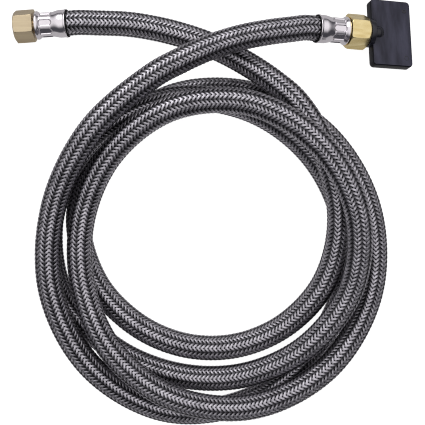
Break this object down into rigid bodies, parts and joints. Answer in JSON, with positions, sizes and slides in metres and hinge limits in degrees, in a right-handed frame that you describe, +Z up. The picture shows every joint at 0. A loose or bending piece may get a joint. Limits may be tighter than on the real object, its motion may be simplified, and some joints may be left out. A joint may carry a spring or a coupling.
{
  "type": "braided water supply line",
  "caption": "Metal-braided supply hose in a flat stacked coil, with a crimped ferrule and a captive hex nut at each end and a T-shaped plug in the larger nut.",
  "frame": {"origin": "the middle of the bounding box's bottom face, on the floor under the coil", "axes": "+Z up out of the floor through the coil, +Y from the coil towards the two fittings, +X towards the plugged end"},
  "size_m": [0.2072, 0.2214, 0.0422],
  "materials": {
    "braid_wire": "fine woven stainless wire, dark in the gaps",
    "rubber": "matte black",
    "stainless": "bright pressed stainless sheet",
    "satin_brass": "satin, slightly dull",
    "bright_brass": "bright, machined",
    "black_plastic": "moulded, semi-matte"
  },
  "bodies": {
    "hose": {"inner_tube": "rubber", "braid_sleeve": "braid_wire", "left_end_ring": "rubber", "left_ferrule": "stainless", "left_insert": "satin_brass", "left_cone_washer": "rubber", "right_end_ring": "rubber", "right_ferrule": "stainless", "right_insert": "bright_brass", "right_cone_washer": "rubber"},
    "left_nut": {"left_nut": "satin_brass"},
    "right_nut": {"right_nut": "bright_brass"},
    "plug": {"plug": "black_plastic"}
  },
  "joints": [
    {"name": "left_nut_spin", "type": "hinge", "parent": "hose", "child": "left_nut", "pos_m": [-0.07588, 0.09835, 0.00935], "axis": [-0.9968, -0.061, -0.0523], "continuous": true},
    {"name": "right_nut_spin", "type": "hinge", "parent": "hose", "child": "right_nut", "pos_m": [0.05292, 0.09355, 0.01935], "axis": [0.9656, -0.0253, -0.2588], "continuous": true},
    {"name": "plug_pull", "type": "slide", "parent": "right_nut", "child": "plug", "axis": [0.9656, -0.0253, -0.2588], "range_m": [0, 0.025]}
  ]
}
